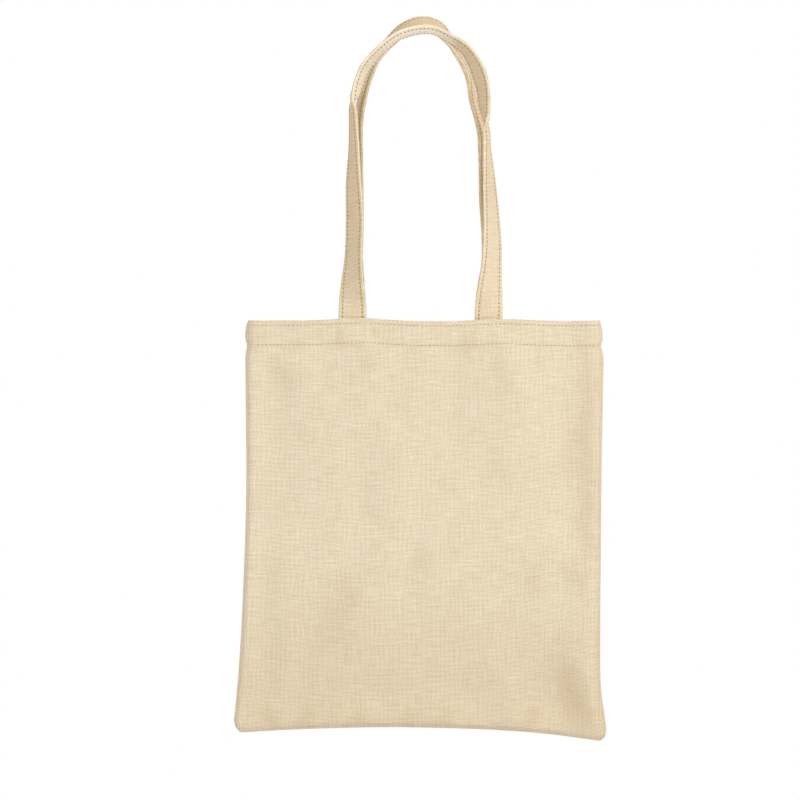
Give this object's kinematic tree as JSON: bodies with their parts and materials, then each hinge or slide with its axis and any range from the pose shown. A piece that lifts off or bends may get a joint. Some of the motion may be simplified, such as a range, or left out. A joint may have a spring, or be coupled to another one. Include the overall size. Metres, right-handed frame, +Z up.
{
  "type": "canvas tote bag",
  "caption": "Flat open-topped canvas tote bag, sewn along its sides and bottom, with a turned hem and long shoulder straps that meet overhead.",
  "frame": {"origin": "the hook point, just under the crown of the two straps, on the bag's middle plane", "axes": "+Z up, from the mouth to the hook; the front panel faces -Y; +X is to the right of a viewer in front"},
  "size_m": [0.3719, 0.0592, 0.7259],
  "materials": {
    "body_canvas": "natural unbleached heavy plain-weave cotton, matt, with flecks",
    "strap_canvas": "the same canvas folded into a strap and topstitched, matt",
    "sewing_thread": "spun cotton thread, slightly darker than the canvas, matt"
  },
  "bodies": {
    "bag": {"back_panel": "body_canvas", "back_hem_fold": "body_canvas", "back_hem_edge_stitch": "sewing_thread", "back_hem_lower_stitch": "sewing_thread", "back_left_strap_tail": "strap_canvas", "back_right_strap_tail": "strap_canvas", "left_seam_allowance": "body_canvas", "left_seam_stitch": "sewing_thread", "left_overlock_thread": "sewing_thread", "right_seam_allowance": "body_canvas", "right_seam_stitch": "sewing_thread", "right_overlock_thread": "sewing_thread", "bottom_seam_allowance": "body_canvas", "bottom_seam_stitch": "sewing_thread", "bottom_overlock_thread": "sewing_thread"},
    "front": {"front_panel": "body_canvas", "front_hem_fold": "body_canvas", "front_hem_edge_stitch": "sewing_thread", "front_hem_lower_stitch": "sewing_thread", "front_left_strap_tail": "strap_canvas", "front_right_strap_tail": "strap_canvas"},
    "front_strap": {"front_strap_loop": "strap_canvas", "front_strap_near_edge_stitch": "sewing_thread", "front_strap_far_edge_stitch": "sewing_thread"},
    "back_strap": {"back_strap_loop": "strap_canvas", "back_strap_near_edge_stitch": "sewing_thread", "back_strap_far_edge_stitch": "sewing_thread"}
  },
  "joints": [
    {"name": "mouth", "type": "hinge", "parent": "bag", "child": "front", "pos_m": [0, 0, -0.7055], "axis": [1, 0, 0], "range_deg": [0, 8]},
    {"name": "front_strap_swing", "type": "hinge", "parent": "front", "child": "front_strap", "pos_m": [0, -0.0105, -0.2865], "axis": [1, 0, 0], "range_deg": [0, 165]},
    {"name": "back_strap_swing", "type": "hinge", "parent": "bag", "child": "back_strap", "pos_m": [0, 0.0105, -0.2865], "axis": [-1, 0, 0], "range_deg": [0, 165]}
  ]
}
